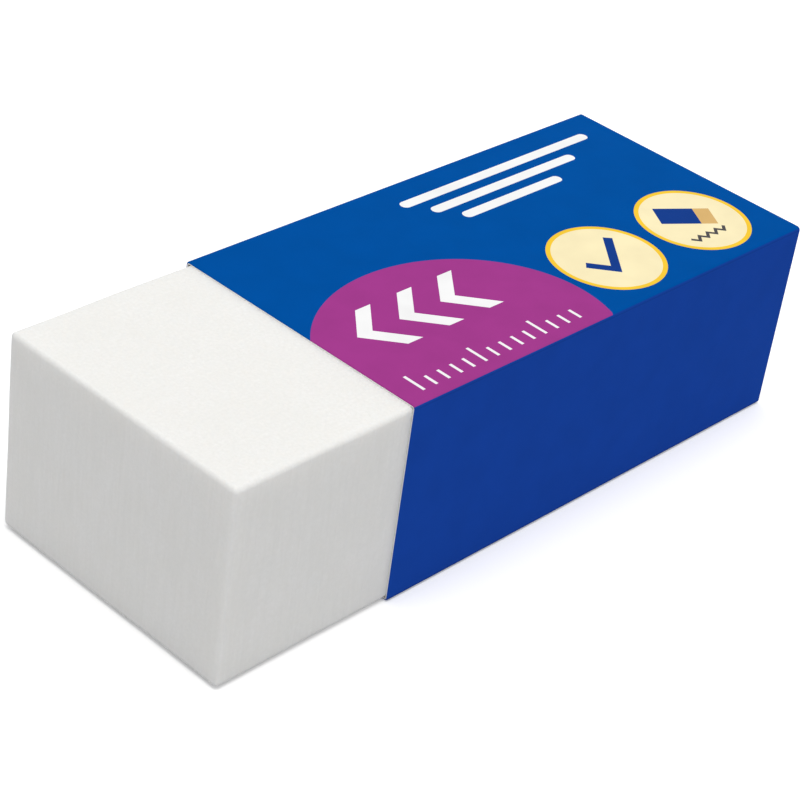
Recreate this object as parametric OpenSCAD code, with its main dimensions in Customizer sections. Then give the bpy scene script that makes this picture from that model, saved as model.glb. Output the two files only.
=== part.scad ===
// Rubber eraser in a printed card sleeve, in millimetres.
// +X runs along the block from its bare end to its covered end, the near long side faces -Y, +Z is up.
// The origin is the middle of the footprint, on the surface that the sleeve lies on.

/* [Block] */
// Length of the rubber block
block_length = 47.2; // [30:0.1:70]
// Width of the rubber block
block_width = 18; // [14:0.1:30]
// Height of the rubber block
block_height = 12.8; // [8:0.1:20]
// Radius along the four extruded long edges
long_edge_r = 0.3; // [0.2:0.05:1]
// Radius round the two cut ends
end_edge_r = 0.2; // [0.1:0.05:1]

/* [Sleeve] */
// Length of bare rubber in front of the sleeve
bare_length = 12.7; // [2:0.1:20]
// How far the sleeve reaches past the covered end of the block
rear_lip = 0.3; // [0.1:0.1:1]
// Thickness of the card
card_t = 0.15; // [0.12:0.01:0.5]
// Radius on the inside of each fold
fold_r = 0.1; // [0.05:0.05:0.3]
// Gap between the card and the rubber, on each side
clearance = 0.03; // [0.02:0.01:0.2]

/* [Glued lap] */
// How far the glue flap's free edge stays below the top panel
flap_drop = 3.4; // [1:0.1:6]
// How far the ends of the glue flap slope in, from its fold to its free edge
flap_slope = 1.6; // [0.2:0.1:4]
// Height of the far panel's raw edge above the underside
lap_edge_height = 0.8; // [0.5:0.1:3]

/* [Print: oval and badges] */
// Half length of the large oval, along the sleeve
oval_half_length = 9.55; // [4:0.05:12]
// Half width of the large oval, across the sleeve
oval_half_width = 8.4; // [4:0.05:12]
// Distance from the front cut edge to the middle of the oval
oval_u = 7.5; // [0:0.1:20]
// Distance from the near side to the middle of the oval
oval_v = 2.9; // [0:0.05:10]
// Radius of each badge, over its ring
badge_r = 3.7; // [2:0.05:5]
// Width of the ring round each badge
ring_width = 0.3; // [0.1:0.05:1]
// Distance from the rear cut edge to the middle of the rear badge
badge_inset = 5.25; // [4:0.05:8]
// Distance between the middles of the two badges
badge_pitch = 8.35; // [7:0.05:12]
// Distance from the near side to the middles of the badges
badge_v = 4.55; // [4:0.05:12]

/* [Print: chevrons and bars] */
// Number of chevrons, and of bars
sign_count = 3; // [1:1:3]
// Distance from the front cut edge to the tip of the first chevron
chevron_u = 2.3; // [0.5:0.1:6]
// Distance from the near side to the tips of the chevrons
chevron_v = 6.75; // [4:0.05:9]
// Distance between the tips of two chevrons
chevron_pitch = 3.35; // [2:0.05:5]
// How far each arm of a chevron runs back along the sleeve
chevron_depth = 1.9; // [1:0.1:3]
// How far each arm of a chevron reaches across the sleeve
chevron_reach = 2.1; // [1:0.1:3]
// Thickness of a chevron's arms, along the sleeve
chevron_t = 1.2; // [0.5:0.1:2]
// Distance from the front cut edge to the first bar's front end
bar_u = 15.2; // [10:0.1:20]
// Distance from the near side to the middle of the first bar
bar_v = 15.95; // [12:0.05:17]
// Length of the first bar
bar_length = 17.35; // [11:0.05:18]
// Thickness of the bars
bar_t = 0.75; // [0.4:0.05:1.2]
// Distance between the middles of two bars
bar_pitch = 1.5; // [1.2:0.05:2]
// How much further back each next bar starts
bar_step = 1.2; // [0:0.1:2]
// How much shorter each next bar is
bar_cut = 4.2; // [0:0.1:4.5]

/* [Hidden] */
edge_facets = 32;
print_facets = 96;

// The space inside the sleeve, and the outer size: one card layer on the near side and two on the far side
inner_w = block_width + 2 * clearance;
inner_h = block_height + 2 * clearance;
overall_length = block_length + rear_lip;
overall_width = inner_w + 3 * card_t;
sleeve_length = overall_length - bare_length;
fold_outer_r = fold_r + card_t;
flap_height = inner_h - flap_drop;

// Where things stand in the part's frame
bare_end_x = -overall_length / 2;
sleeve_x = bare_end_x + bare_length;
near_y = -overall_width / 2;
inner_y = near_y + card_t;
inner_z = card_t;

// The print on the top panel reaches round the near fold to the middle of its bend
bend_middle = fold_outer_r * (1 - sqrt(1 / 2));
rear_badge_u = sleeve_length - badge_inset;

ground_colour = [0.0, 0.31, 0.63];
oval_colour = [0.64, 0.24, 0.56];
badge_colour = [1.0, 0.93, 0.77];
ring_colour = [0.98, 0.8, 0.24];
sign_colour = [0.97, 0.97, 0.97];
rubber_colour = [0.95, 0.95, 0.93];

// A rectangle from the origin with its four corners rounded
module round_rect(w, h, r) {
    translate([r, 0]) square([w - 2 * r, h]);
    translate([0, r]) square([w, h - 2 * r]);
    for (x = [r, w - r], y = [r, h - r]) {
        translate([x, y]) circle(r = r, $fn = edge_facets);
    }
}

// Lays an XY outline into the YZ plane and draws it out along +X
module along_x(length) {
    rotate([90, 0, 90]) linear_extrude(height = length) children();
}

// Lays an XY outline into the XZ plane and draws it out along +Y
module along_y(length) {
    translate([0, length, 0]) rotate([90, 0, 0]) linear_extrude(height = length) children();
}

// The block is the common volume of three rounded bars, one along each axis
module block_body() {
    intersection() {
        along_x(block_length) round_rect(block_width, block_height, long_edge_r);
        along_y(block_width) round_rect(block_length, block_height, end_edge_r);
        linear_extrude(height = block_height) round_rect(block_length, block_width, end_edge_r);
    }
}

// Section of the wrapped card, with the inside's near lower corner at the origin: the glue flap, its fold,
// the bottom, the near side, the top, and the far panel that comes down outside the flap to its raw edge
module wrap_section() {
    difference() {
        union() {
            translate([-card_t, -card_t]) {
                round_rect(inner_w + 2 * card_t, inner_h + 2 * card_t, fold_outer_r);
            }
            intersection() {
                translate([-card_t, -card_t]) {
                    round_rect(inner_w + 3 * card_t, inner_h + 2 * card_t, fold_outer_r);
                }
                translate([inner_w / 2, lap_edge_height - card_t]) square([inner_w, inner_h]);
            }
        }
        round_rect(inner_w, inner_h, fold_r);
        intersection() {
            round_rect(inner_w + card_t, inner_h, fold_r);
            translate([inner_w / 2, flap_height]) square([inner_w, inner_h]);
        }
    }
}

// What is cut from the front end of the glue flap, so that the end slopes in from its fold to its free edge
module flap_end_cut() {
    translate([0, inner_w - card_t, 0]) along_y(2 * card_t) {
        polygon([
            [-flap_slope, fold_r],
            [0, fold_r],
            [flap_slope, flap_height],
            [flap_slope, flap_height + card_t],
            [-flap_slope, flap_height + card_t]
        ]);
    }
}

// The whole folded and glued card
module folded_card() {
    translate([sleeve_x, inner_y, inner_z]) difference() {
        along_x(sleeve_length) wrap_section();
        flap_end_cut();
        translate([sleeve_length, 0, 0]) mirror([1, 0, 0]) flap_end_cut();
    }
}

// The printed outlines lie in the top panel: u runs back from the front cut edge, v across from the near side
module oval_outline() {
    intersection() {
        translate([oval_u, oval_v]) polygon([
            for (k = [0 : print_facets - 1])
                let (a = 360 * k / print_facets)
                [oval_half_length * cos(a), oval_half_width * sin(a)]
        ]);
        translate([0, bend_middle]) square([sleeve_length, overall_width]);
    }
}

module badge_outlines(r) {
    for (u = [rear_badge_u - badge_pitch, rear_badge_u]) {
        translate([u, badge_v]) circle(r = r, $fn = print_facets);
    }
}

// Chevrons in the oval, pointing to the bare end
module chevron_outlines() {
    for (k = [0 : sign_count - 1]) {
        translate([chevron_u + k * chevron_pitch, chevron_v]) polygon([
            [0, 0],
            [chevron_depth, chevron_reach],
            [chevron_depth + chevron_t, chevron_reach],
            [chevron_t, 0],
            [chevron_depth + chevron_t, -chevron_reach],
            [chevron_depth, -chevron_reach]
        ]);
    }
}

// Bars with round ends along the far edge, each set back from the last one and shorter
module bar_outlines() {
    for (k = [0 : sign_count - 1]) {
        straight = bar_length - bar_t - k * bar_cut;
        translate([bar_u + bar_t / 2 + k * bar_step, bar_v - k * bar_pitch]) {
            translate([0, -bar_t / 2]) square([straight, bar_t]);
            for (x = [0, straight]) {
                translate([x, 0]) circle(d = bar_t, $fn = edge_facets);
            }
        }
    }
}

// Stretches a printed outline down through the thickness of the top panel
module through_top() {
    translate([sleeve_x, near_y, inner_z + inner_h]) linear_extrude(height = 2 * card_t) children();
}

// The part of the card under a printed outline
module field() {
    intersection() {
        folded_card();
        through_top() children();
    }
}

module eraser_block() {
    color(rubber_colour) {
        translate([bare_end_x, inner_y + clearance, inner_z + clearance]) block_body();
    }
}

module card_sleeve() {
    color(ground_colour) difference() {
        folded_card();
        through_top() {
            oval_outline();
            badge_outlines(badge_r);
            bar_outlines();
        }
    }
    color(oval_colour) field() difference() {
        oval_outline();
        chevron_outlines();
    }
    color(ring_colour) field() difference() {
        badge_outlines(badge_r);
        badge_outlines(badge_r - ring_width);
    }
    color(badge_colour) field() badge_outlines(badge_r - ring_width);
    color(sign_colour) field() {
        chevron_outlines();
        bar_outlines();
    }
}

eraser_block();
card_sleeve();
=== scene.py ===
import math

import bpy
from mathutils import Euler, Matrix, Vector, noise
from mathutils.geometry import delaunay_2d_cdt


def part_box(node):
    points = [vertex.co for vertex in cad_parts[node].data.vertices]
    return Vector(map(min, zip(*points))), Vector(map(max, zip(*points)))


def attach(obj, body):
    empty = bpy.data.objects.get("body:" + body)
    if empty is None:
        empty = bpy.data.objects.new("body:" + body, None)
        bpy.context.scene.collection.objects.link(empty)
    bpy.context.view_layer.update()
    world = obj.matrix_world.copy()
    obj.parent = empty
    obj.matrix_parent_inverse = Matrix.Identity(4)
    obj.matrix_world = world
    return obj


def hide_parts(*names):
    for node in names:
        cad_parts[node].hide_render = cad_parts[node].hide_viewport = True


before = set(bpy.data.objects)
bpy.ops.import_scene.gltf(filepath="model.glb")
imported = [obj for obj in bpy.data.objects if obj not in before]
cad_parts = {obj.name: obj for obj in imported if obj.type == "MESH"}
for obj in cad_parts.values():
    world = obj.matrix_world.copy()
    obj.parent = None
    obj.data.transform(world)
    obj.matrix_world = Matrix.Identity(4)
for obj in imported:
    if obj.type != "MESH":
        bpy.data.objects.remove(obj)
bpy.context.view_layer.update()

# The eraser is a white vinyl block in a folded, glued and printed card sleeve.
# Shapes are worked out in millimetres, and MM turns them into the frame's metres.
MM = 0.001
BLOCK_NODE = "eraser_block"
SLEEVE_NODE = "card_sleeve"
block_low, block_high = (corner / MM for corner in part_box(BLOCK_NODE))
sleeve_low, sleeve_high = (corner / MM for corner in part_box(SLEEVE_NODE))

# Points nearer to each other than this are one point
SAME_POINT = 1e-5

# Card sleeve, with the sizes that the solid has
CARD_T = 0.15
FOLD_R = 0.1
FOLD_OUTER_R = FOLD_R + CARD_T
FLAP_DROP = 3.4
FLAP_SLOPE = 1.6
LAP_EDGE_HEIGHT = 0.8
# Thickness of the glue between the flap and the far panel
GLUE_T = 0.01
# Above the flap the far panel leans in to the block, in place of the flap's layer
FAR_LEAN = CARD_T - GLUE_T
sleeve_length = sleeve_high.x - sleeve_low.x
sleeve_height = sleeve_high.z
flap_outer_y = sleeve_high.y - CARD_T - GLUE_T
flap_top = sleeve_height - CARD_T - FLAP_DROP

# How finely the card is divided: the step in its panels, the steps in a bend, and two columns near its ends
CARD_STEP = 0.8
BEND_STEPS = 8
NEAR_END_STEPS = (0.6, 1.1)
# A strip this wide beside each bend and cut edge keeps their shading out of the flat panels
GUARD_WIDTH = 0.06

# A panel bows out from the block by this much, rising over this reach from its ends, with a ripple on it
PANEL_BOW = 0.04
BOW_REACH = 4.0
CARD_RIPPLE = 0.012
RIPPLE_WAVE = 7.0

# The knife presses the printed side over at each cut edge, in a quarter turn of this radius
SHOULDER_R = 0.09
SHOULDER_STEPS = [SHOULDER_R * (1 - math.cos(math.radians(a))) for a in (0, 30, 60, 90)]
SHOULDER_STEPS.append(SHOULDER_R + GUARD_WIDTH)

# Printed fields on the top panel: u runs back from the front cut edge, v across from the near side
FOLD_MIDDLE_V = FOLD_OUTER_R * (1 - math.pi / 4)
OVAL_CENTRE = (7.5, 2.9)
OVAL_HALF = (9.55, 8.4)
BADGE_R = 3.7
RING_WIDTH = 0.3
BADGE_V = 4.55
BADGE_INSET = 5.25
BADGE_PITCH = 8.35
SIGN_COUNT = 3
CHEVRON_TIP = (2.3, 6.75)
CHEVRON_PITCH = 3.35
CHEVRON_DEPTH = 1.9
CHEVRON_REACH = 2.1
CHEVRON_T = 1.2
BAR_START = (15.2, 15.95)
BAR_LENGTH = 17.35
BAR_T = 0.75
BAR_PITCH = 1.5
BAR_STEP = 1.2
BAR_CUT = 4.2
MARK_START = (1.6, 0.9)
MARK_COUNT = 14
MARK_T = 0.2
MARK_LENGTH = 0.95
LONG_MARK_LENGTH = 1.55
LONG_MARK_EVERY = 5

# Signs in the badges, measured from a badge's middle: a tick, and a small eraser over a zigzag line
TICK_POINTS = ((-1.8, 0.1), (-0.55, -1.25), (1.9, 1.55))
TICK_T = 0.6
SMALL_ERASER_MIDDLE = (0.05, 0.5)
SMALL_ERASER_TILT = -32.0
SMALL_ERASER_BACK = -2.0
SMALL_SLEEVE_END = 0.65
SMALL_ERASER_TIP = 1.75
SMALL_ERASER_HALF_WIDTH = 0.95
ZIGZAG_START = (-2.1, -1.55)
ZIGZAG_STEP = 0.4
ZIGZAG_DEPTH = 0.42
ZIGZAG_POINTS = 9
ZIGZAG_T = 0.22

# How finely the print is drawn
CIRCLE_STEPS = 96
CAP_STEPS = 8
# A mitred corner of a stroke reaches at most its half width over this
SHARPEST_MITRE = 0.35
# The oval's outline is closed at this u, in front of the card
PAST_FRONT = -1.0
# The card's own points stay this far from the printed outlines
PRINT_CLEAR = 0.14
# A face whose middle is this near the blank's edge is a sliver between points on that edge, and is left out
SLIVER = 0.001

# Rubber block: how far its rounded edges reach in along x, y and z, and by what share that varies
BLOCK_R = (0.17, 0.26, 0.26)
EDGE_UNEVEN = 0.35
EDGE_WAVE = 5.0
# The step of its mesh lines, and where they lie in a rounded edge, as tangents of the turn
BLOCK_STEP = 0.45
EDGE_TANGENTS = (0.0, 0.13, 0.27, 0.42, 0.59, 0.79, 1.0)
# Its faces swell out this far into the gap to the card, and sink back by up to this much in places
FACE_SWELL = 0.024
FACE_SINK = 0.008
FACE_WAVE = 6.5
# Keeps the unevenness of the faces apart from that of the edges
FACE_NOISE_SHIFT = Vector((3.7, 1.9, 5.3))
# The cut sides and ends have this share of the grain that the top and bottom have
SIDE_GRAIN = 0.7

# sRGB colours, 0 to 255
RUBBER = (248, 247, 244)
RUBBER_DULL = (245, 244, 240)
CARD_INSIDE = (236, 234, 228)
CARD_EDGE = (247, 247, 245)
INKS = {
    "blue_ink_top": (0, 80, 160),
    # The side and fold blues are the top's blue recoloured, as painted light and shade for the different
    # light that falls on the upright panels and the bends
    "blue_ink_side_painted_light": (26, 74, 174),
    "blue_ink_fold_painted_light": (24, 67, 158),
    "magenta_ink": (163, 60, 141),
    "yellow_ink": (250, 205, 60),
    "cream_ink": (252, 238, 193),
    "navy_ink": (24, 62, 140),
    "ochre_ink": (219, 180, 116),
    "graphite_ink": (84, 82, 84),
    "white_ink": (247, 247, 247),
}

# Camera, in millimetres and degrees
CAMERA_PLACE = (-92.48, -76.25, 81.46)
CAMERA_DEGREES = (56.908, -6.876, -45.614)
LENS = 106.86
SENSOR = 36.0
CLIP_START = 10

# Light. A sun's level of 1 lights white to white where it falls square on. Its azimuth of 0 is from -Y.
SUN_WHITE = math.pi
TOP_SUN = {"level": 0.484, "azimuth": -20, "elevation": 84, "spread": 40, "tint": (1.0, 0.985, 0.965)}
FRONT_SUN = {"level": 0.078, "azimuth": -40, "elevation": 30, "spread": 60, "tint": (1.0, 1.0, 1.0)}
SKY_LEVEL = 0.51
SKY_TINT = (0.965, 0.98, 1.0, 1.0)
WHITE = (1.0, 1.0, 1.0, 1.0)

# Floor, a little below the sleeve: its glow to the camera, and its colour in the light that it throws back
FLOOR_SIZE = 6000
FLOOR_DROP = 0.02
FLOOR_LIFT = 0.2
FLOOR_THROWN = (0.545, 0.545, 0.56, 1.0)


def linear(colour):
    """An sRGB colour, 0 to 255, as the linear RGBA that shaders take."""
    out = []
    for channel in colour:
        c = channel / 255
        out.append(c / 12.92 if c <= 0.04045 else ((c + 0.055) / 1.055) ** 2.4)
    return (*out, 1.0)


def shift(colour, amount):
    """The colour made lighter or darker by a share of itself."""
    return tuple(min(255, channel * (1 + amount)) for channel in colour)


class Shader:
    """A node material with one Principled shader, fed by noise in object millimetres."""

    def __init__(self, name):
        self.material = bpy.data.materials.new(name)
        self.material.use_nodes = True
        self.tree = self.material.node_tree
        self.surface = self.tree.nodes["Principled BSDF"]
        coordinates = self.node("ShaderNodeTexCoord")
        scale = self.node("ShaderNodeVectorMath", operation="SCALE")
        scale.inputs["Scale"].default_value = 1 / MM
        self.join(coordinates.outputs["Object"], scale.inputs[0])
        self.millimetres = scale.outputs["Vector"]
        self.normal = coordinates.outputs["Normal"]

    def node(self, kind, **settings):
        made = self.tree.nodes.new(kind)
        for key, value in settings.items():
            setattr(made, key, value)
        return made

    def join(self, out, into):
        self.tree.links.new(out, into)

    def set(self, **values):
        """Sets the surface's own sockets, with _ for the spaces in their names."""
        for key, value in values.items():
            self.surface.inputs[key.replace("_", " ")].default_value = value

    def feed(self, name, socket):
        self.join(socket, self.surface.inputs[name])

    def grain(self, per_mm, detail=2.0, rough=0.5):
        """Noise with per_mm waves along each axis."""
        stretch = self.node("ShaderNodeVectorMath", operation="MULTIPLY")
        stretch.inputs[1].default_value = per_mm
        self.join(self.millimetres, stretch.inputs[0])
        texture = self.node("ShaderNodeTexNoise")
        texture.inputs["Scale"].default_value = 1.0
        texture.inputs["Detail"].default_value = detail
        texture.inputs["Roughness"].default_value = rough
        self.join(stretch.outputs["Vector"], texture.inputs["Vector"])
        return texture.outputs["Fac"]

    def spread(self, value, to_low, to_high, low=0.3, high=0.7):
        """value from low..high, where most noise lies, to to_low..to_high, clamped."""
        mapped = self.node("ShaderNodeMapRange", clamp=True)
        mapped.inputs["From Min"].default_value = low
        mapped.inputs["From Max"].default_value = high
        mapped.inputs["To Min"].default_value = to_low
        mapped.inputs["To Max"].default_value = to_high
        self.join(value, mapped.inputs["Value"])
        return mapped.outputs["Result"]

    def mix(self, share, first, second):
        """A colour between two, each an RGBA tuple or a socket."""
        mixed = self.node("ShaderNodeMix", data_type="RGBA")
        self.join(share, mixed.inputs["Factor"])
        # The node's colours are its inputs 6 and 7 and its output 2
        for socket, value in ((mixed.inputs[6], first), (mixed.inputs[7], second)):
            if isinstance(value, tuple):
                socket.default_value = value
            else:
                self.join(value, socket)
        return mixed.outputs[2]

    def level(self):
        """1 on faces that lie level, down to 0 on upright ones."""
        parts = self.node("ShaderNodeSeparateXYZ")
        size = self.node("ShaderNodeMath", operation="ABSOLUTE")
        self.join(self.normal, parts.inputs[0])
        self.join(parts.outputs["Z"], size.inputs[0])
        return size.outputs[0]

    def times(self, first, second):
        product = self.node("ShaderNodeMath", operation="MULTIPLY")
        self.join(first, product.inputs[0])
        self.join(second, product.inputs[1])
        return product.outputs[0]

    def bump(self, *layers):
        """Stacks bumps, each a height socket, a depth in millimetres and maybe a strength socket."""
        normal = None
        for height, depth, *strength in layers:
            bump = self.node("ShaderNodeBump")
            bump.inputs["Strength"].default_value = 1.0
            bump.inputs["Distance"].default_value = depth * MM
            self.join(height, bump.inputs["Height"])
            if strength:
                self.join(strength[0], bump.inputs["Strength"])
            if normal:
                self.join(normal, bump.inputs["Normal"])
            normal = bump.outputs["Normal"]
        self.feed("Normal", normal)


def rubber_material():
    """Matt vinyl: knife streaks down the cut sides and ends, fine grain on top, a little light inside."""
    shader = Shader("white_vinyl")
    shader.set(Subsurface_Weight=0.5, Subsurface_Radius=(1.0, 0.95, 0.9), Subsurface_Scale=MM)
    shader.set(IOR=1.5, Specular_IOR_Level=0.35)
    cloud = shader.grain((0.35, 0.35, 0.35), detail=3)
    fine = shader.grain((5, 5, 5), detail=2)
    streak = shader.grain((4.2, 4.2, 0.3), detail=3, rough=0.6)
    broad_streak = shader.grain((1.3, 1.3, 0.22), detail=1)
    grainy = shader.spread(shader.level(), SIDE_GRAIN, 1, low=0.5, high=0.9)
    speck = linear(shift(RUBBER_DULL, -0.03))
    tint = shader.mix(shader.spread(cloud, 0, 1, low=0.35, high=0.65), linear(RUBBER_DULL), linear(RUBBER))
    drawn = shader.mix(shader.spread(streak, 0.5, 0), tint, speck)
    dark = shader.times(shader.spread(fine, 0.7, 0), grainy)
    shader.feed("Base Color", shader.mix(dark, drawn, speck))
    shader.feed("Roughness", shader.spread(fine, 0.55, 0.7))
    shader.bump((broad_streak, 0.018), (streak, 0.044), (fine, 0.01, grainy))
    return shader.material


def ink_material(name, colour):
    """Ink under a thin satin varnish, with the card's fibres just showing."""
    shader = Shader(name)
    shader.set(IOR=1.5, Specular_IOR_Level=0.003)
    fibre = shader.grain((2.2, 2.2, 2.2), detail=4, rough=0.65)
    mottle = shader.grain((0.5, 0.5, 0.5), detail=2)
    paler, deeper = linear(shift(colour, 0.015)), linear(shift(colour, -0.015))
    shader.feed("Base Color", shader.mix(shader.spread(mottle, 0, 1), deeper, paler))
    shader.feed("Roughness", shader.spread(fibre, 0.36, 0.48))
    shader.bump((mottle, 0.012), (fibre, 0.004))
    return shader.material


def bare_card_material(name, colour, per_mm, depth):
    """Uncoated board: short matted fibres, no gloss."""
    shader = Shader(name)
    shader.set(IOR=1.45, Specular_IOR_Level=0.15)
    fibre = shader.grain(per_mm, detail=4, rough=0.7)
    fleck = shader.grain((0.9, 0.9, 0.9), detail=3)
    tint = shader.mix(shader.spread(fibre, 0, 1), linear(shift(colour, -0.05)), linear(colour))
    flecked = shader.spread(fleck, 0, 0.25, low=0.62, high=0.72)
    shader.feed("Base Color", shader.mix(flecked, tint, linear(shift(colour, -0.1))))
    shader.feed("Roughness", shader.spread(fibre, 0.82, 0.95))
    shader.bump((fibre, depth))
    return shader.material


def card_materials():
    """One material for each ink, then the bare inside of the card and its cut edges."""
    printed = [ink_material(name, colour) for name, colour in INKS.items()]
    inside = bare_card_material("card_inside", CARD_INSIDE, (3, 3, 3), 0.01)
    edge = bare_card_material("card_cut_edge", CARD_EDGE, (9, 9, 9), 0.012)
    return [*printed, inside, edge]


# The folded section. Its rows of points are tight where no triangle may cross them.

class Straight:
    """A straight stretch of the card's outer surface, seen along x, between two (y, z) places."""

    def __init__(self, name, start, end, cut_end=False):
        self.name, self.start, self.end, self.cut_end = name, start, end, cut_end
        self.length = math.dist(start, end)

    def at(self, along):
        """Place and outward normal, as (y, z) pairs, that far along."""
        dy = (self.end[0] - self.start[0]) / self.length
        dz = (self.end[1] - self.start[1]) / self.length
        return (self.start[0] + dy * along, self.start[1] + dz * along), (-dz, dy)

    def rows(self):
        """How far along each row of points lies, and whether it is tight."""
        count = max(1, round(self.length / CARD_STEP))
        from_end = reversed(SHOULDER_STEPS) if self.cut_end else (GUARD_WIDTH, 0.0)
        rows = [(0.0, True), (GUARD_WIDTH, True)]
        rows += [(self.length * k / count, False) for k in range(1, count)]
        return rows + [(self.length - along, True) for along in from_end]


class Bend:
    """A bend of the card's outer surface, seen along x, about a centre and between two angles in degrees."""

    def __init__(self, name, centre, first, last):
        self.name, self.centre = name, centre
        self.first, self.last = math.radians(first), math.radians(last)
        self.length = FOLD_OUTER_R * abs(self.last - self.first)

    def at(self, along):
        """Place and outward normal, as (y, z) pairs, that far along."""
        share = along / self.length
        angle = self.first + (self.last - self.first) * share
        normal = (math.cos(angle), math.sin(angle))
        return tuple(c + FOLD_OUTER_R * n for c, n in zip(self.centre, normal)), normal

    def rows(self):
        """How far along each row of points lies, and whether it is tight."""
        return [(self.length * k / BEND_STEPS, True) for k in range(BEND_STEPS + 1)]


def section_runs():
    """The folded section from the glue flap's free edge round to the far panel's raw edge."""
    near, far, top, r = sleeve_low.y, sleeve_high.y, sleeve_height, FOLD_OUTER_R
    far_centre = (far - FAR_LEAN - r, top - r)
    lean_foot = (far, flap_top)
    # The far bend ends where a line up from the lean's foot just touches it
    foot_angle = math.atan2(lean_foot[1] - far_centre[1], lean_foot[0] - far_centre[0])
    turned = foot_angle + math.acos(r / math.dist(far_centre, lean_foot))
    lean_start = (far_centre[0] + r * math.cos(turned), far_centre[1] + r * math.sin(turned))
    return [
        Straight("flap", (flap_outer_y, flap_top), (flap_outer_y, r)),
        Bend("flap_bend", (flap_outer_y - r, r), 0, -90),
        Straight("bottom", (flap_outer_y - r, 0.0), (near + r, 0.0)),
        Bend("lower_bend", (near + r, r), -90, -180),
        Straight("near", (near, r), (near, top - r)),
        Bend("near_bend", (near + r, top - r), 180, 90),
        Straight("top", (near + r, top), (far_centre[0], top)),
        Bend("far_bend", far_centre, 90, math.degrees(turned)),
        Straight("far_lean", lean_start, lean_foot),
        Straight("far", lean_foot, (far, LAP_EDGE_HEIGHT), cut_end=True),
    ]


class Section:
    """The whole section, measured by s along its outer surface from the glue flap's free edge."""

    def __init__(self):
        self.runs = section_runs()
        self.starts = {}
        self.rows = []
        s = 0.0
        for run in self.runs:
            self.starts[run.name] = s
            shared = 1 if self.rows else 0
            self.rows += [(s + along, tight) for along, tight in run.rows()[shared:]]
            s += run.length
        self.length = s

    def find(self, s):
        """The run that s lies in, and how far along it."""
        for run in self.runs:
            along = s - self.starts[run.name]
            if along <= run.length + SAME_POINT:
                return run, max(0.0, min(along, run.length))
        return self.runs[-1], self.runs[-1].length

    def s_of_v(self, v):
        """v across the top panel from the near side, as s."""
        return self.starts["top"] + v - FOLD_OUTER_R

    def v_of_s(self, s):
        return s - self.s_of_v(0.0)


def flap_inset(section, s):
    """How far the glue flap's sloping ends stand in from the sleeve's ends at s."""
    flap = section.runs[0]
    return FLAP_SLOPE * max(0.0, 1 - s / flap.length)


def shoulder_drop(section, u, s):
    """How far the printed surface is pressed down there: most at the cut edges, and nothing further in."""
    inset = flap_inset(section, s)
    reach = min(u - inset, sleeve_length - inset - u, section.length - s)
    back = SHOULDER_R - min(max(reach, 0.0), SHOULDER_R)
    return SHOULDER_R - math.sqrt(SHOULDER_R ** 2 - back ** 2)


def stand_off(run, along, u, y, z):
    """How far a panel bows out there: most in its middle, and not at all at its ends or on the underside."""
    if isinstance(run, Bend) or run.name == "bottom":
        return 0.0
    # The glued layers go by their height, so that they bow as one
    if run.name in ("flap", "far_lean", "far"):
        across = (z - FOLD_OUTER_R) / (sleeve_height - 2 * FOLD_OUTER_R)
    else:
        across = along / run.length
    across = max(0.0, min(1.0, across))
    inward = 1 - math.exp(-min(u, sleeve_length - u) / BOW_REACH)
    ripple = CARD_RIPPLE * noise.noise(Vector((u, y, z)) / RIPPLE_WAVE)
    return math.sin(math.pi * across) * inward * (PANEL_BOW + ripple)


def folded(section, u, s, depth):
    """A point of the blank after folding, depth below the outer surface."""
    run, along = section.find(s)
    (y, z), (ny, nz) = run.at(along)
    out = stand_off(run, along, u, y, z) - depth
    return Vector((sleeve_low.x + u, y + ny * out, z + nz * out))


# Outlines, as lists of points

def circle(centre, r):
    angles = [math.tau * k / CIRCLE_STEPS for k in range(CIRCLE_STEPS)]
    return [(centre[0] + r * math.cos(a), centre[1] + r * math.sin(a)) for a in angles]


def round_bar(start, end, width):
    """A stroke from start to end with round ends."""
    angle = math.atan2(end[1] - start[1], end[0] - start[0])
    points = []
    for centre, first in ((end, angle - math.pi / 2), (start, angle + math.pi / 2)):
        for k in range(CAP_STEPS + 1):
            a = first + math.pi * k / CAP_STEPS
            points.append((centre[0] + width / 2 * math.cos(a), centre[1] + width / 2 * math.sin(a)))
    return points


def stroke(points, width):
    """An open line of straight stretches, drawn width wide with mitred corners and square ends."""
    left, right = [], []
    for k, point in enumerate(points):
        before = points[max(k - 1, 0)]
        after = points[min(k + 1, len(points) - 1)]
        first = Vector((point[0] - before[0], point[1] - before[1])) if k else None
        second = Vector((after[0] - point[0], after[1] - point[1])) if k < len(points) - 1 else None
        first = (first or second).normalized()
        second = (second or first).normalized()
        along = (first + second).normalized()
        reach = width / 2 / max(SHARPEST_MITRE, along.dot(first))
        across = Vector((-along.y, along.x)) * reach
        left.append((point[0] + across.x, point[1] + across.y))
        right.append((point[0] - across.x, point[1] - across.y))
    return left + right[::-1]


def rectangle(low, high):
    return [low, (high[0], low[1]), high, (low[0], high[1])]


def place(points, centre, degrees=0.0):
    """Points turned about the origin and moved to centre."""
    c, s = math.cos(math.radians(degrees)), math.sin(math.radians(degrees))
    return [(centre[0] + x * c - y * s, centre[1] + x * s + y * c) for x, y in points]


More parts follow.
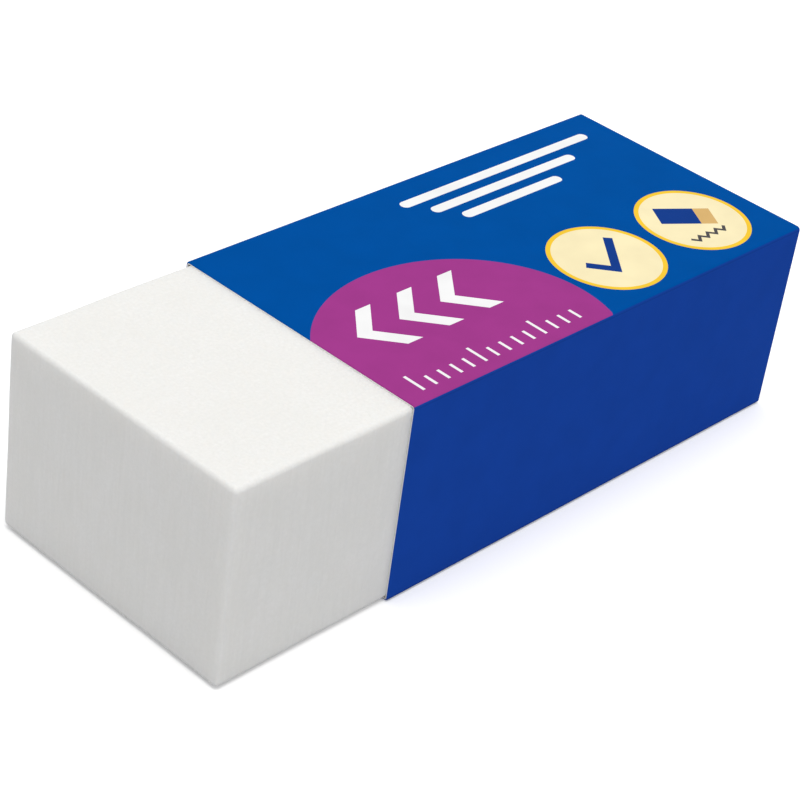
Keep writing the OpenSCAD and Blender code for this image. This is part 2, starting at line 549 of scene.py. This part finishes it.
class Field:
    """One printed field: its ink, its outline on the top panel, and the line of it that the mesh follows."""

    def __init__(self, ink, outline, drawn=None):
        self.ink, self.outline = ink, outline
        self.drawn = drawn or [*outline, outline[0]]
        self.low = (min(p[0] for p in outline), min(p[1] for p in outline))
        self.high = (max(p[0] for p in outline), max(p[1] for p in outline))

    def boxed(self, u, v, margin=0.0):
        """Whether the place is in the outline's box, or within the margin round it."""
        return (
            self.low[0] - margin <= u <= self.high[0] + margin
            and self.low[1] - margin <= v <= self.high[1] + margin
        )

    def holds(self, u, v):
        """Whether the place is inside, where a line from it crosses the outline an odd number of times."""
        if not self.boxed(u, v):
            return False
        inside = False
        for (u0, v0), (u1, v1) in zip(self.outline, [*self.outline[1:], self.outline[0]]):
            if (v0 > v) != (v1 > v) and u < (u1 - u0) * (v - v0) / (v1 - v0) + u0:
                inside = not inside
        return inside


def oval_field():
    """The large oval, cut off at the front edge and at the middle of the near bend."""
    (cu, cv), (a, b) = OVAL_CENTRE, OVAL_HALF
    first = -math.asin((cv - FOLD_MIDDLE_V) / b)
    last = math.acos(-cu / a)
    arc = []
    for k in range(CIRCLE_STEPS + 1):
        angle = first + (last - first) * k / CIRCLE_STEPS
        arc.append((cu + a * math.cos(angle), cv + b * math.sin(angle)))
    return Field("magenta_ink", [*arc, (PAST_FRONT, arc[-1][1]), (PAST_FRONT, FOLD_MIDDLE_V)], drawn=arc)


def badge_fields(centre):
    return [
        Field("yellow_ink", circle(centre, BADGE_R)),
        Field("cream_ink", circle(centre, BADGE_R - RING_WIDTH)),
    ]


def tick_mark(centre):
    """A plain tick."""
    return [Field("navy_ink", place(stroke(TICK_POINTS, TICK_T), centre))]


def rubbing_sign(centre):
    """A small tilted eraser that rubs out a zigzag line."""
    middle = (centre[0] + SMALL_ERASER_MIDDLE[0], centre[1] + SMALL_ERASER_MIDDLE[1])
    half = SMALL_ERASER_HALF_WIDTH
    sleeve = rectangle((SMALL_ERASER_BACK, -half), (SMALL_SLEEVE_END, half))
    tip = rectangle((SMALL_SLEEVE_END, -half), (SMALL_ERASER_TIP, half))
    u, v = ZIGZAG_START
    line = [(u + ZIGZAG_STEP * k, v - ZIGZAG_DEPTH * (k % 2)) for k in range(ZIGZAG_POINTS)]
    return [
        Field("navy_ink", place(sleeve, middle, SMALL_ERASER_TILT)),
        Field("ochre_ink", place(tip, middle, SMALL_ERASER_TILT)),
        Field("graphite_ink", place(stroke(line, ZIGZAG_T), centre)),
    ]


def chevrons():
    """Chevrons in the oval, pointing to the bare end."""
    back, reach, t = CHEVRON_DEPTH, CHEVRON_REACH, CHEVRON_T
    shape = [(0, 0), (back, reach), (back + t, reach), (t, 0), (back + t, -reach), (back, -reach)]
    u, v = CHEVRON_TIP
    return [Field("white_ink", place(shape, (u + CHEVRON_PITCH * k, v))) for k in range(SIGN_COUNT)]


def scale_marks():
    """A row of millimetre marks along the near edge, some of them longer."""
    fields = []
    u, v = MARK_START
    for k in range(MARK_COUNT):
        length = MARK_LENGTH if k % LONG_MARK_EVERY else LONG_MARK_LENGTH
        mark = rectangle((u + k - MARK_T / 2, v), (u + k + MARK_T / 2, v + length))
        fields.append(Field("white_ink", mark))
    return fields


def bars():
    """Bars with round ends along the far edge, each set back from the last one and shorter."""
    fields = []
    for k in range(SIGN_COUNT):
        start = BAR_START[0] + BAR_T / 2 + BAR_STEP * k
        end = start + BAR_LENGTH - BAR_T - BAR_CUT * k
        v = BAR_START[1] - BAR_PITCH * k
        fields.append(Field("white_ink", round_bar((start, v), (end, v), BAR_T)))
    return fields


def printed_fields():
    """All the printed fields, each over the ones before it."""
    rear_badge = (sleeve_length - BADGE_INSET, BADGE_V)
    front_badge = (rear_badge[0] - BADGE_PITCH, BADGE_V)
    return [
        oval_field(),
        *badge_fields(front_badge),
        *badge_fields(rear_badge),
        *tick_mark(front_badge),
        *rubbing_sign(rear_badge),
        *chevrons(),
        *scale_marks(),
        *bars(),
    ]


def ink_at(section, fields, u, s):
    """The ink at a place on the blank. The upright panels and the flap take the side blue, and each bend
    takes the fold blue in its half next to a side: both are copies of the top's blue, recoloured as painted
    light and shade.
    """
    run, along = section.find(s)
    if run.name in ("near", "far_lean", "far", "flap"):
        return "blue_ink_side_painted_light"
    first_half = along < run.length / 2
    side_half = first_half if run.name in ("flap_bend", "near_bend") else not first_half
    if isinstance(run, Bend) and side_half:
        return "blue_ink_fold_painted_light"
    ink = "blue_ink_top"
    if run.name in ("top", "near_bend"):
        for field in fields:
            if field.holds(u, section.v_of_s(s)):
                ink = field.ink
    return ink


def near_outline(u, v, fields):
    """Whether the point lies too close beside a printed outline to be worth having."""
    for field in fields:
        if not field.boxed(u, v, PRINT_CLEAR):
            continue
        for (u0, v0), (u1, v1) in zip(field.drawn, field.drawn[1:]):
            du, dv = u1 - u0, v1 - v0
            share = ((u - u0) * du + (v - v0) * dv) / max(du * du + dv * dv, SAME_POINT ** 2)
            share = max(0.0, min(1.0, share))
            if math.hypot(u - u0 - share * du, v - v0 - share * dv) < PRINT_CLEAR:
                return True
    return False


def columns(inset):
    """Distances from the front cut edge of a row's points, close together in the shoulders at both ends."""
    edge = [inset + step for step in (*SHOULDER_STEPS, *NEAR_END_STEPS)]
    middle_length = sleeve_length - 2 * edge[-1]
    count = round(middle_length / CARD_STEP)
    middle = [edge[-1] + middle_length * k / count for k in range(1, count)]
    return [*edge, *middle, *(sleeve_length - e for e in reversed(edge))]


def blank_grid(section, fields):
    """The unfolded card's own points in (u, s), row by row, and the edges that no triangle may cross."""
    points, edges, last_ends = [], [], []
    shoulder = len(SHOULDER_STEPS)
    for s, tight in section.rows:
        places = columns(flap_inset(section, s))
        row = []
        for k, u in enumerate(places):
            at_end = k < shoulder or k >= len(places) - shoulder
            if at_end or tight or not near_outline(u, section.v_of_s(s), fields):
                row.append(len(points))
                points.append(Vector((u, s)))
        if tight:
            edges += zip(row, row[1:])
        ends = row[:shoulder] + row[-shoulder:]
        edges += zip(last_ends, ends)
        last_ends = ends
    return points, edges


def flat_blank(section, fields):
    """The unfolded card: points in (u, s), faces that follow every printed outline, and their inks."""
    points, edges = blank_grid(section, fields)
    for field in fields:
        first = len(points)
        points += [Vector((u, section.s_of_v(v))) for u, v in field.drawn]
        edges += [(first + k, first + k + 1) for k in range(len(field.drawn) - 1)]
    verts, _, faces, *_ = delaunay_2d_cdt(points, edges, [], 0, SAME_POINT)
    kept, inks = [], []
    for face in faces:
        u = sum(verts[i].x for i in face) / len(face)
        s = sum(verts[i].y for i in face) / len(face)
        inset = flap_inset(section, s) + SLIVER
        if inset < u < sleeve_length - inset and SLIVER < s < section.length - SLIVER:
            kept.append(face)
            inks.append(ink_at(section, fields, u, s))
    used = sorted({i for face in kept for i in face})
    number = {old: new for new, old in enumerate(used)}
    return [verts[i] for i in used], [[number[i] for i in face] for face in kept], inks


def open_edges(faces):
    """The edges with a face on one side only, each in the order in which its face goes round."""
    sides = dict.fromkeys(side for face in faces for side in zip(face, [*face[1:], face[0]]))
    return [(a, b) for a, b in sides if (b, a) not in sides]


def make_object(name, verts, faces, materials, slots, smooth):
    """A mesh object from millimetre points, with one material slot number and smoothness per face."""
    mesh = bpy.data.meshes.new(name)
    mesh.from_pydata([v * MM for v in verts], [], faces)
    for material in materials:
        mesh.materials.append(material)
    mesh.polygons.foreach_set("material_index", slots)
    mesh.polygons.foreach_set("use_smooth", smooth)
    mesh.update()
    made = bpy.data.objects.new(name, mesh)
    bpy.context.scene.collection.objects.link(made)
    return made


def card_sleeve():
    """The blank, folded, given the card's thickness and closed along its cut edges, which stay sharp."""
    section = Section()
    flat, outer, inks = flat_blank(section, printed_fields())
    verts = [folded(section, p.x, p.y, shoulder_drop(section, p.x, p.y)) for p in flat]
    verts += [folded(section, p.x, p.y, CARD_T) for p in flat]
    count = len(flat)
    inner = [[i + count for i in reversed(face)] for face in outer]
    cut = open_edges(outer)
    rim = [[b, a, a + count, b + count] for a, b in cut]
    names = list(INKS)
    inside_slot, edge_slot = len(names), len(names) + 1
    slots = [names.index(ink) for ink in inks] + [inside_slot] * len(inner) + [edge_slot] * len(rim)
    smooth = [True] * (len(outer) + len(inner)) + [False] * len(rim)
    made = make_object("folded_card_sleeve", verts, outer + inner + rim, card_materials(), slots, smooth)
    sharp = {frozenset(edge) for edge in cut}
    for line in made.data.edges:
        line.use_edge_sharp = frozenset(line.vertices) in sharp
    return made


def grid_lines(half, radius):
    """Places along one axis, from -half to half, close together where the edges are rounded."""
    inner = half - radius
    count = max(1, round(2 * inner / BLOCK_STEP))
    edge = [inner + radius * t for t in EDGE_TANGENTS[1:]]
    middle = [-inner + 2 * inner * k / count for k in range(count + 1)]
    return [*(-e for e in reversed(edge)), *middle, *edge]


def softened(point, half):
    """A point of the sharp block moved on to the softly rounded and slightly uneven one."""
    uneven = 1 + EDGE_UNEVEN * (0.5 + noise.noise(point / EDGE_WAVE))
    radii = [r * uneven for r in BLOCK_R]
    core = Vector(max(-(h - r), min(h - r, p)) for p, h, r in zip(point, half, radii))
    turn = Vector((p - c) / r for p, c, r in zip(point, core, radii))
    turn.normalize()
    surface = core + Vector(t * r for t, r in zip(turn, radii))
    sink = FACE_SINK * (0.5 + 0.5 * noise.noise(point / FACE_WAVE + FACE_NOISE_SHIFT))
    return surface + turn * (FACE_SWELL - max(0.0, sink))


def rubber_block():
    """A closed grid of quads on all six sides, rounded along every edge."""
    centre = (block_low + block_high) / 2
    half = (block_high - block_low) / 2
    lines = [grid_lines(h, r * (1 + EDGE_UNEVEN)) for h, r in zip(half, BLOCK_R)]
    last = [len(line) - 1 for line in lines]
    number, verts, faces = {}, [], []

    def vertex(key):
        if key not in number:
            number[key] = len(verts)
            verts.append(softened(Vector(line[k] for line, k in zip(lines, key)), half) + centre)
        return number[key]

    for axis in range(3):
        a, b = (axis + 1) % 3, (axis + 2) % 3
        for end in (0, last[axis]):
            for i in range(last[a]):
                for j in range(last[b]):
                    corners = []
                    for di, dj in ((0, 0), (1, 0), (1, 1), (0, 1)):
                        key = [0, 0, 0]
                        key[axis], key[a], key[b] = end, i + di, j + dj
                        corners.append(vertex(tuple(key)))
                    faces.append(corners if end else corners[::-1])
    count = len(faces)
    return make_object("rubber_block", verts, faces, [rubber_material()], [0] * count, [True] * count)


# Floor, surroundings, lamps and camera

def seen_share(nodes, links):
    """1 for rays that the camera, a reflection or a see-through surface sends, 0 for light on the object."""
    path = nodes.new("ShaderNodeLightPath")
    total = path.outputs["Is Camera Ray"]
    for name in ("Is Glossy Ray", "Is Transmission Ray"):
        add = nodes.new("ShaderNodeMath")
        add.operation = "MAXIMUM"
        links.new(total, add.inputs[0])
        links.new(path.outputs[name], add.inputs[1])
        total = add.outputs[0]
    return total


def floor_material():
    """Plain white to the camera and in reflections, a mid white for the light that it throws back."""
    material = bpy.data.materials.new("pale_floor")
    material.use_nodes = True
    nodes, links = material.node_tree.nodes, material.node_tree.links
    nodes.clear()
    seen = nodes.new("ShaderNodeBsdfDiffuse")
    seen.inputs["Color"].default_value = WHITE
    lift = nodes.new("ShaderNodeEmission")
    lift.inputs["Strength"].default_value = FLOOR_LIFT
    both = nodes.new("ShaderNodeAddShader")
    links.new(seen.outputs[0], both.inputs[0])
    links.new(lift.outputs[0], both.inputs[1])
    thrown = nodes.new("ShaderNodeBsdfDiffuse")
    thrown.inputs["Color"].default_value = FLOOR_THROWN
    pick = nodes.new("ShaderNodeMixShader")
    links.new(seen_share(nodes, links), pick.inputs["Fac"])
    links.new(thrown.outputs[0], pick.inputs[1])
    links.new(both.outputs[0], pick.inputs[2])
    out = nodes.new("ShaderNodeOutputMaterial")
    links.new(pick.outputs[0], out.inputs["Surface"])
    return material


def make_floor():
    half = FLOOR_SIZE / 2
    corners = [Vector((x, y, -FLOOR_DROP)) for x, y in rectangle((-half, -half), (half, half))]
    floor = make_object("studio_floor", corners, [[0, 1, 2, 3]], [floor_material()], [0], [False])


def make_world():
    """A plain soft sky for the light on the object, and white behind it."""
    world = bpy.data.worlds.new("studio_world")
    bpy.context.scene.world = world
    world.use_nodes = True
    nodes, links = world.node_tree.nodes, world.node_tree.links
    nodes.clear()
    light = nodes.new("ShaderNodeBackground")
    light.inputs["Color"].default_value = SKY_TINT
    light.inputs["Strength"].default_value = SKY_LEVEL
    white = nodes.new("ShaderNodeBackground")
    white.inputs["Color"].default_value = WHITE
    white.inputs["Strength"].default_value = 1.0
    pick = nodes.new("ShaderNodeMixShader")
    links.new(seen_share(nodes, links), pick.inputs["Fac"])
    links.new(light.outputs[0], pick.inputs[1])
    links.new(white.outputs[0], pick.inputs[2])
    out = nodes.new("ShaderNodeOutputWorld")
    links.new(pick.outputs[0], out.inputs["Surface"])


def make_sun(name, level, azimuth, elevation, spread, tint):
    """A soft distant lamp."""
    data = bpy.data.lights.new(name, "SUN")
    data.energy = level * SUN_WHITE
    data.color = tint
    data.angle = math.radians(spread)
    lamp = bpy.data.objects.new(name, data)
    a, e = math.radians(azimuth), math.radians(elevation)
    towards = Vector((math.sin(a) * math.cos(e), -math.cos(a) * math.cos(e), math.sin(e)))
    lamp.rotation_euler = towards.to_track_quat("Z", "Y").to_euler()
    bpy.context.scene.collection.objects.link(lamp)


def make_camera():
    data = bpy.data.cameras.new("photo_camera")
    data.lens = LENS
    data.sensor_width = SENSOR
    data.clip_start = CLIP_START * MM
    camera = bpy.data.objects.new("photo_camera", data)
    camera.location = Vector(CAMERA_PLACE) * MM
    camera.rotation_euler = Euler([math.radians(a) for a in CAMERA_DEGREES], "XYZ")
    bpy.context.scene.collection.objects.link(camera)
    bpy.context.scene.camera = camera


block = rubber_block()
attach(block, "block")
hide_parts(BLOCK_NODE)

sleeve = card_sleeve()
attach(sleeve, "sleeve")
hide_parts(SLEEVE_NODE)

make_floor()
make_world()
make_sun("top_sun", **TOP_SUN)
make_sun("front_sun", **FRONT_SUN)
make_camera()
bpy.context.scene.view_settings.view_transform = "Standard"
